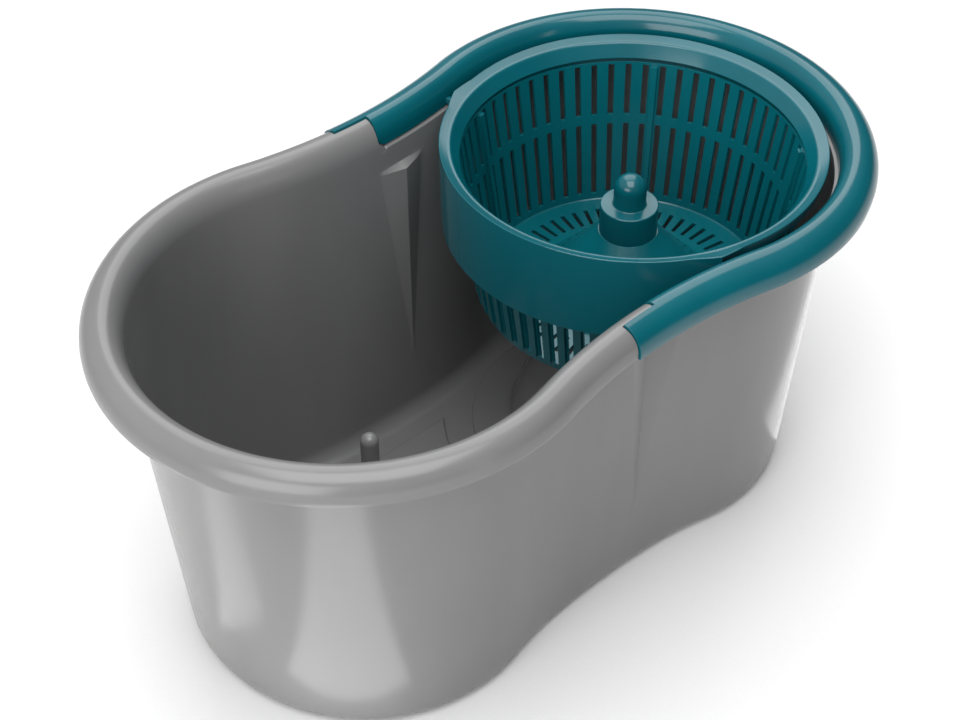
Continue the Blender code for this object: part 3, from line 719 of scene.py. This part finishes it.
def ring_profile():
    profile = arc((SKIRT_R - 0.7, SKIRT_FOOT + 0.7), (0.7, 0.7), 225, 360, 4)
    profile += arc((RING_R - 0.6, RING_TOP - 0.8), (0.6, 0.6), 0, 80, 4)
    profile += arc((104.4, 212.3), (2.2, 2.2), 72, 155, 6)
    profile += arc((FUNNEL_R + 0.8, FUNNEL_FOOT + 0.8), (0.8, 0.8), 155, 310, 6)
    profile += arc((103.9, 210.0), (1.6, 1.6), 155, 90, 3)
    profile += [(RING_R - RING_WALL - 0.8, RING_TOP - 4.1), (RING_R - RING_WALL, RING_TOP - 4.9)]
    profile += [(SKIRT_R - RING_WALL, SKIRT_FOOT + 0.4), (SKIRT_R - RING_WALL + 0.4, SKIRT_FOOT)]
    return profile


def funnel_ring():
    """The turned ring, with its skirt cut short past the ears and the ears pushed out."""
    bm = turned(ring_profile(), SPIN_X, 180)
    for vert in bm.verts:
        x, y = vert.co.x / MM - SPIN_X, vert.co.y / MM
        radius, turn = math.hypot(x, y), math.degrees(math.atan2(y, x))
        side = -1 if turn < 0 else 1
        # the columns next to the skirt's end move up to it, so the end is upright and crisp
        turn = side * ramp(abs(turn), NEAR_EAR, AT_EAR)
        bulge = max(0.0, 1 - abs(abs(turn) - EAR_DEG) / EAR_HALF)
        outer = ramp(radius, (104.0, RING_R), (0.0, 1.0))
        push = (EAR_R - RING_R) * bulge * outer * ramp(vert.co.z / MM, EAR_RISE, (0.0, 1.0))
        if abs(turn) < EAR_DEG and radius > SKIRT_FROM_R:
            vert.co.z = max(vert.co.z, SHORT_FOOT * MM)
        vert.co.x = (SPIN_X + (radius + push) * math.cos(math.radians(turn))) * MM
        vert.co.y = (radius + push) * math.sin(math.radians(turn)) * MM
    return bm


def web(side):
    """A short bar from the ring's ear to the channel."""
    bm = bmesh.new()
    bmesh.ops.create_cube(bm, size=1.0)
    bmesh.ops.scale(bm, vec=[side_mm * MM for side_mm in WEB_SIZE], verts=bm.verts)
    bmesh.ops.bevel(bm, geom=bm.edges[:], offset=0.5 * MM, segments=2, profile=0.5,
                    affect="EDGES", material=-1)
    bmesh.ops.translate(bm, vec=(WEB_OUT * MM, 0.0, WEB_Z * MM), verts=bm.verts)
    turn = Matrix.Rotation(side * math.radians(EAR_DEG), 3, "Z")
    bmesh.ops.rotate(bm, cent=(0.0, 0.0, 0.0), verts=bm.verts, matrix=turn)
    bmesh.ops.translate(bm, vec=(SPIN_X * MM, 0.0, 0.0), verts=bm.verts)
    return bm


# %% Make the collar
collar = make_piece("collar_and_funnel", make_channel(), TEAL_GLOSS, "collar_body", ["collar"])
for shape in (funnel_ring(), web(-1), web(1)):
    combine(collar, shape, "UNION")
soften(collar, 0.35, 2, angle=50.0)
print("collar:", len(collar.data.polygons), "faces")

# %% [markdown]
# ## The spin basket
#
# A cone of upright bars with a flat floor and a raised middle. Each slot is a missing column of
# faces, so one spin with two columns to a slot's pitch gives every bar. Solidify gives the sheet
# its wall. Each bar then gets a fin behind it, which is what shows dark and comb-like between the
# slots, and five of them get a rib on the inside that drags the mop round.

# %% Basket sizes
SLOTS = 59
SLOT_SHARE = 0.35                  # of the pitch that is open
SLOT_TURN = 0.9                    # degrees the pattern is turned
WALL_FOOT_R, WALL_FOOT = 84.5, 111.3
WALL_HEAD_R, WALL_HEAD = 98.4, 203.6
FLANGE_R = 103.5
UPPER_SLOT = (169.0, 202.0)
LOWER_SLOT = (115.5, 163.0)
FLOOR_SLOT = (60.0, 74.5)
EVEN_WITHIN_R = FLOOR_SLOT[0] - 4  # further in than this the columns are evenly spaced
CONE_R = 56.5
BASKET_WALL = 2.2
HUB_R = 17.0
BORE_R, BORE_FOOT = 8.3, 98.0
FIN_INSET, FIN_REACH = 0.9, 2.0
RIB_INSET, RIB_REACH = 1.5, 2.4
RIB_BARS = (5, 17, 29, 41, 52)     # the bars that carry a rib inside
PITCH = 2 * math.pi / SLOTS


def basket_radius(z):
    return WALL_FOOT_R + (WALL_HEAD_R - WALL_FOOT_R) * (z - WALL_FOOT) / (WALL_HEAD - WALL_FOOT)


def basket_sheet():
    """The basket's inner surface, with a pair of columns to each slot."""
    profile = [(FLANGE_R, WALL_HEAD)]
    for z in (WALL_HEAD, UPPER_SLOT[1], UPPER_SLOT[0], LOWER_SLOT[1], LOWER_SLOT[0], WALL_FOOT + 0.6):
        profile.append((basket_radius(z), z))
    profile += [(WALL_FOOT_R - 0.6, WALL_FOOT), (FLOOR_SLOT[1], WALL_FOOT), (FLOOR_SLOT[0], WALL_FOOT)]
    profile += arc((CONE_R - 1.0, WALL_FOOT + 4.0), (4.0, 4.0), 270, 225, 3)
    profile += [(HUB_R + 0.5, HUB_BASE - GAP), (BORE_R, HUB_BASE - GAP), (BORE_R, BORE_FOOT)]
    bm = turned(profile, SPIN_X, 2 * SLOTS, closed=False)
    narrow = PITCH * (0.5 - SLOT_SHARE) / 2
    for vert in bm.verts:
        x, y = vert.co.x / MM - SPIN_X, vert.co.y / MM
        radius, turn = math.hypot(x, y), math.atan2(y, x)
        shift = narrow if radius > EVEN_WITHIN_R else 0.0
        turn += shift if round(turn / (PITCH / 2)) % 2 == 0 else -shift
        turn += math.radians(SLOT_TURN)
        vert.co.x = (SPIN_X + radius * math.cos(turn)) * MM
        vert.co.y = radius * math.sin(turn) * MM
    return bm


# %% Open the slots, thicken the sheet and raise the ribs
def polar(point):
    """Radius in mm and direction in radians of a point about the spin axis."""
    x, y = point.x / MM - SPIN_X, point.y / MM
    return math.hypot(x, y), math.atan2(y, x)


def is_slot(face):
    """Whether a face of the sheet lies in a slot; the slots' middles are at a quarter pitch."""
    centre = face.calc_center_median()
    radius, turn = polar(centre)
    if abs((turn - math.radians(SLOT_TURN)) / PITCH % 1 - 0.25) > 0.1:
        return False
    z = centre.z / MM
    in_wall = radius > 80 and any(low < z < high for low, high in (UPPER_SLOT, LOWER_SLOT))
    in_floor = FLOOR_SLOT[0] < radius < FLOOR_SLOT[1] and abs(z - WALL_FOOT) < 0.2
    return in_wall or in_floor


def grow(bm, strip, margin, direction, reach):
    """Inset a strip of faces and raise what is left along a direction, all in millimetres."""
    bmesh.ops.inset_region(bm, faces=strip, thickness=margin * MM, use_even_offset=True)
    grown = bmesh.ops.extrude_face_region(bm, geom=strip)["geom"]
    verts = [item for item in grown if isinstance(item, bmesh.types.BMVert)]
    bmesh.ops.translate(bm, verts=verts, vec=direction * reach * MM)
    bmesh.ops.delete(bm, geom=strip, context="FACES")


def bar_strip(bm, centre_deg, facing, low, high):
    """The faces on one bar's inner (-1) or outer (1) side, between two heights."""
    out = Vector((math.cos(math.radians(centre_deg)), math.sin(math.radians(centre_deg)), 0.0))
    strip = []
    for face in bm.faces:
        centre = face.calc_center_median()
        radius, turn = polar(centre)
        off = (math.degrees(turn) - centre_deg + 180) % 360 - 180
        upright = radius > 82 and face.normal.dot(out) * facing > 0.8
        if upright and abs(off) < 0.8 and low < centre.z / MM < high:
            strip.append(face)
    return strip, out


def make_basket():
    """The slotted sheet with its wall, a fin behind every bar and the ribs inside."""
    bm = basket_sheet()
    bmesh.ops.delete(bm, geom=[face for face in bm.faces if is_slot(face)], context="FACES")
    bmesh.ops.recalc_face_normals(bm, faces=bm.faces)
    floor_face = min(bm.faces, key=lambda f: abs(f.calc_center_median().z / MM - WALL_FOOT))
    if floor_face.normal.z < 0:
        bmesh.ops.reverse_faces(bm, faces=bm.faces)
    bmesh.ops.solidify(bm, geom=bm.faces[:], thickness=BASKET_WALL * MM)
    for number in range(SLOTS):
        bar = math.degrees(PITCH) * (number + 0.75) + SLOT_TURN
        strip, out = bar_strip(bm, bar, 1, LOWER_SLOT[0] - 1, LOWER_SLOT[1] + 1)
        grow(bm, strip, FIN_INSET, out, FIN_REACH)
        if number in RIB_BARS:
            strip, out = bar_strip(bm, bar, -1, LOWER_SLOT[0], WALL_HEAD)
            grow(bm, strip, RIB_INSET, -out, RIB_REACH)
    return bm


basket = make_piece("spin_basket", make_basket(), TEAL_BASKET, "basket_rotor", ["basket"], sharp=30.0)
soften(basket, 0.3, 2, angle=35.0)
print("basket:", len(basket.data.polygons), "faces,", SLOTS, "bars")

# %% [markdown]
# ## The hub
#
# A short drum capped by a domed pin, which enters the mop head and turns it with the basket.

# %% Make the hub
DRUM_TOP = 171.3
DRUM_CAP = 8.0                     # thickness of the drum's closed top
HOLLOW_R = 10.5
HUB_PIN_R = 9.5
hub_profile = arc((0.0, HUB_TOP - HUB_PIN_R), (HUB_PIN_R, HUB_PIN_R), 90, 0, 10)
hub_profile += arc((HUB_PIN_R + 0.8, DRUM_TOP + 0.8), (0.8, 0.8), 180, 270, 3)
hub_profile += arc((HUB_R - 0.9, DRUM_TOP - 0.9), (0.9, 0.9), 90, 0, 4)
hub_profile += [(HUB_R, HUB_BASE), (HOLLOW_R, HUB_BASE),
                (HOLLOW_R, DRUM_TOP - DRUM_CAP), (0.0, DRUM_TOP - DRUM_CAP)]
hub = make_piece("hub", turned(hub_profile, SPIN_X, 72), TEAL_HUB, "basket_rotor", ["hub_post"])
print("hub:", round(HUB_TOP - HUB_BASE), "mm tall")

# %% [markdown]
# ## Floor, lights and camera
#
# A plain pale floor and a large softbox that leans in from behind: every crest mirrors it, which
# draws the bright lines along the rim and the funnel. A broad softbox at the left models the
# bucket's flank, and a narrow strip puts one soft streak on the right. Three faint strips lie on
# the table and point up, and each draws an upright stripe on the wall. The world's light comes
# mostly from one side and stays dim elsewhere, so the gloss stays deep.


# %% Studio floor and world
FLOOR_HALF = 6.0                   # metres
BRIGHT_SIDE = Vector((-0.5, 0.4, 0.77))      # the way to the brightest part of the world
DIM, BRIGHT = 0.05, 0.68


def studio_floor():
    bm = bmesh.new()
    bmesh.ops.create_grid(bm, x_segments=2, y_segments=2, size=FLOOR_HALF)
    mesh = bpy.data.meshes.new("studio_floor")
    bm.to_mesh(mesh)
    bm.free()
    floor = bpy.data.objects.new("studio_floor", mesh)
    bpy.context.scene.collection.objects.link(floor)
    material = bpy.data.materials.new("matt_white_paper")
    material.use_nodes = True
    tree = material.node_tree
    shader = shader_of(material)
    shader.inputs["Roughness"].default_value = 0.9
    place = add(tree, "ShaderNodeTexCoord").outputs["Object"]
    fibre = add(tree, "ShaderNodeTexNoise", {"Scale": per_mm(2.0), "Detail": 3.0}, {"Vector": place})
    tint = add(tree, "ShaderNodeValToRGB", links={"Fac": fibre.outputs["Fac"]})
    tint.color_ramp.elements[0].color = linear("E6E6E6")
    tint.color_ramp.elements[1].color = linear("EAEAEA")
    tree.links.new(tint.outputs["Color"], shader.inputs["Base Color"])
    mesh.materials.append(material)
    print("floor:", 2 * FLOOR_HALF, "m wide")


studio_floor()
world = bpy.data.worlds.new("studio")
bpy.context.scene.world = world
world.use_nodes = True
sky = world.node_tree
direction = add(sky, "ShaderNodeTexCoord").outputs["Generated"]
facing = add(sky, "ShaderNodeVectorMath", {1: BRIGHT_SIDE}, {0: direction}, operation="DOT_PRODUCT")
glow = add(sky, "ShaderNodeMapRange",
           {"From Min": -0.2, "From Max": 1.0, "To Min": DIM, "To Max": BRIGHT},
           {"Value": facing.outputs["Value"]})
backdrop = sky.nodes["Background"]
backdrop.inputs["Color"].default_value = (1.0, 1.0, 1.0, 1.0)
sky.links.new(glow.outputs["Result"], backdrop.inputs["Strength"])
bpy.context.scene.view_settings.view_transform = "Standard"
print(f"world: strength {DIM} to {BRIGHT}")


# %% Softboxes
def softbox(name, place, aim, size, power):
    """A rectangular lamp that points at aim, in metres and watts."""
    data = bpy.data.lights.new(name, "AREA")
    data.shape = "RECTANGLE"
    data.size, data.size_y = size
    data.energy = power
    lamp = bpy.data.objects.new(name, data)
    lamp.location = place
    lamp.visible_camera = False
    lamp.rotation_euler = (Vector(aim) - Vector(place)).to_track_quat("-Z", "Y").to_euler()
    bpy.context.scene.collection.objects.link(lamp)
    print(f"{name}: {power} W")
    return lamp


BUCKET_MIDDLE = (0.0, 0.0, 0.1)
softbox("back_softbox", (0.72, 0.78, 1.44), BUCKET_MIDDLE, (1.6, 1.5), 19.0)
softbox("overhead_softbox", (-0.30, -0.33, 1.65), BUCKET_MIDDLE, (1.3, 1.3), 21.0)
softbox("left_softbox", (-1.59, -0.58, 0.70), BUCKET_MIDDLE, (1.2, 1.2), 18.0)
softbox("right_strip", (0.18, -1.75, 0.45), (0.1, 0.0, 0.1), (0.12, 0.9), 0.7)

# %% Strips of light on the table
CARD_Z = 0.002                     # metres, just clear of the floor


def table_card(name, place, towards_deg, size, power):
    """A strip that lies on the table, points up, and shows as a soft stripe on the wall."""
    card = softbox(name, (*place, CARD_Z), (*place, 1.0), size, power)
    card.rotation_euler = (math.pi, 0.0, math.radians(towards_deg - 90.0))
    return card


table_card("near_card", (-0.279, -0.157), 220.8, (0.10, 0.24), 0.16)
table_card("left_card", (-0.338, 0.063), 148.8, (0.06, 0.23), 0.05)
table_card("right_card", (0.300, -0.050), 17.0, (0.07, 0.28), 0.06)

# %% Camera
camera_data = bpy.data.cameras.new("camera")
camera_data.lens = 75.0
camera_data.sensor_width = 36.0
camera = bpy.data.objects.new("camera", camera_data)
camera.location = (-0.5850, -0.6175, 0.8734)
target = Vector((-0.1364, -0.1330, 0.2834))
camera.rotation_euler = (target - camera.location).to_track_quat("-Z", "Y").to_euler()
bpy.context.scene.collection.objects.link(camera)
bpy.context.scene.camera = camera
print(f"camera: {camera_data.lens} mm lens, {(target - camera.location).length:.2f} m from its target")
